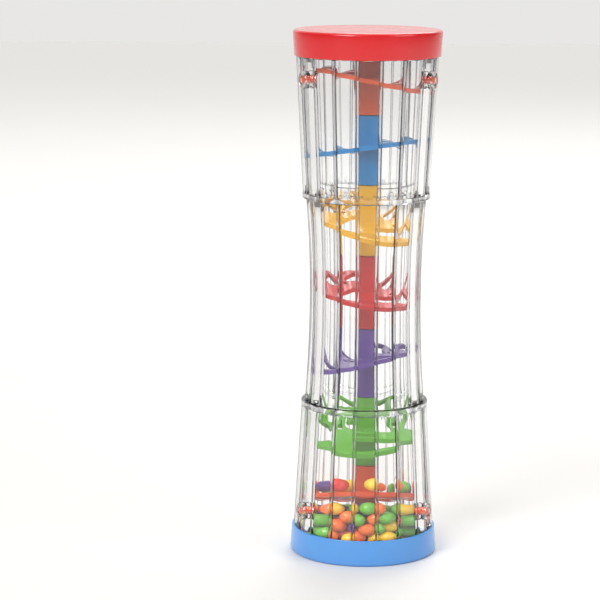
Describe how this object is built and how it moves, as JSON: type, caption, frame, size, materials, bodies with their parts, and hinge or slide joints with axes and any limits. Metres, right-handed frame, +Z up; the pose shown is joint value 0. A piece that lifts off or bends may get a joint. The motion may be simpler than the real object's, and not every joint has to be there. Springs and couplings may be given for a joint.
{
  "type": "rainstick",
  "caption": "Toy rainstick: clear fluted hourglass tube between two flat end caps, with a stack of coloured tilted openwork baffles and loose round beads inside.",
  "frame": {"origin": "middle of the flat outer face of the lower (blue) end cap, on the surface it stands on", "axes": "+Z up the tube's axis to the red cap, -Y towards the front, +X to the right of someone facing that front"},
  "size_m": [0.059, 0.059, 0.21],
  "materials": {
    "cap_red": "glossy moulded ABS",
    "cap_blue": "glossy moulded ABS",
    "clear_shell": "clear moulded polystyrene with convex flutes",
    "plate_orange": "translucent tinted polystyrene",
    "plate_blue": "translucent tinted polystyrene",
    "plate_yellow": "translucent tinted polystyrene",
    "plate_red": "translucent tinted polystyrene",
    "plate_purple": "translucent tinted polystyrene",
    "plate_green": "translucent tinted polystyrene",
    "rod_white": "moulded natural white plastic",
    "pin_orange": "moulded orange-red plastic",
    "bead_yellow": "glossy moulded polystyrene",
    "bead_orange": "glossy moulded polystyrene",
    "bead_green": "glossy moulded polystyrene",
    "bead_purple": "glossy moulded polystyrene",
    "bead_red": "glossy moulded polystyrene"
  },
  "bodies": {
    "root": {"end_cap_top": "cap_red", "end_cap_bottom": "cap_blue", "shell_upper": "clear_shell", "shell_waist": "clear_shell", "shell_lower": "clear_shell", "baffle_1_orange": "plate_orange", "baffle_2_blue": "plate_blue", "baffle_3_yellow": "plate_yellow", "baffle_4_red": "plate_red", "baffle_5_purple": "plate_purple", "baffle_6_green": "plate_green", "baffle_7_orange": "plate_orange", "core_rod": "rod_white", "pin_top_1": "pin_orange", "pin_bottom_1": "pin_orange", "pin_top_2": "pin_orange", "pin_bottom_2": "pin_orange", "pin_top_3": "pin_orange", "pin_bottom_3": "pin_orange"},
    "bead_bed": {"bed_1_1": "bead_yellow", "bed_1_2": "bead_orange", "bed_2_1": "bead_green", "bed_2_2": "bead_purple", "bed_3_1": "bead_red", "bed_3_2": "bead_yellow"},
    "loose_01": {"bead_01": "bead_yellow"},
    "loose_02": {"bead_02": "bead_orange"},
    "loose_03": {"bead_03": "bead_green"},
    "loose_04": {"bead_04": "bead_purple"},
    "loose_05": {"bead_05": "bead_red"},
    "loose_06": {"bead_06": "bead_yellow"},
    "loose_07": {"bead_07": "bead_orange"},
    "loose_08": {"bead_08": "bead_green"},
    "loose_09": {"bead_09": "bead_purple"},
    "loose_10": {"bead_10": "bead_red"},
    "loose_11": {"bead_11": "bead_yellow"},
    "loose_12": {"bead_12": "bead_orange"},
    "loose_13": {"bead_13": "bead_green"},
    "loose_14": {"bead_14": "bead_purple"},
    "loose_15": {"bead_15": "bead_red"},
    "loose_16": {"bead_16": "bead_yellow"}
  },
  "joints": [
    {"name": "bed_lift", "type": "slide", "parent": "root", "child": "bead_bed", "axis": [0, 0, 1], "range_m": [0, 0.002]},
    {"name": "drop_01", "type": "slide", "parent": "root", "child": "loose_01", "axis": [0, 0, 1], "range_m": [0, 0.0077]},
    {"name": "drop_02", "type": "slide", "parent": "root", "child": "loose_02", "axis": [0, 0, 1], "range_m": [0, 0.0119]},
    {"name": "drop_03", "type": "slide", "parent": "root", "child": "loose_03", "axis": [0, 0, 1], "range_m": [0, 0.0195]},
    {"name": "drop_04", "type": "slide", "parent": "root", "child": "loose_04", "axis": [0, 0, 1], "range_m": [0, 0.0276]},
    {"name": "drop_05", "type": "slide", "parent": "root", "child": "loose_05", "axis": [0, 0, 1], "range_m": [0, 0.0332]},
    {"name": "drop_06", "type": "slide", "parent": "root", "child": "loose_06", "axis": [0, 0, 1], "range_m": [0, 0.034]},
    {"name": "drop_07", "type": "slide", "parent": "root", "child": "loose_07", "axis": [0, 0, 1], "range_m": [0, 0.0299]},
    {"name": "drop_08", "type": "slide", "parent": "root", "child": "loose_08", "axis": [0, 0, 1], "range_m": [0, 0.0223]},
    {"name": "drop_09", "type": "slide", "parent": "root", "child": "loose_09", "axis": [0, 0, 1], "range_m": [0, 0.0141]},
    {"name": "drop_10", "type": "slide", "parent": "root", "child": "loose_10", "axis": [0, 0, 1], "range_m": [0, 0.0086]},
    {"name": "drop_11", "type": "slide", "parent": "root", "child": "loose_11", "axis": [0, 0, 1], "range_m": [0, 0.0129]},
    {"name": "drop_12", "type": "slide", "parent": "root", "child": "loose_12", "axis": [0, 0, 1], "range_m": [0, 0.0201]},
    {"name": "drop_13", "type": "slide", "parent": "root", "child": "loose_13", "axis": [0, 0, 1], "range_m": [0, 0.0281]},
    {"name": "drop_14", "type": "slide", "parent": "root", "child": "loose_14", "axis": [0, 0, 1], "range_m": [0, 0.0289]},
    {"name": "drop_15", "type": "slide", "parent": "root", "child": "loose_15", "axis": [0, 0, 1], "range_m": [0, 0.0216]},
    {"name": "drop_16", "type": "slide", "parent": "root", "child": "loose_16", "axis": [0, 0, 1], "range_m": [0, 0.0136]}
  ]
}
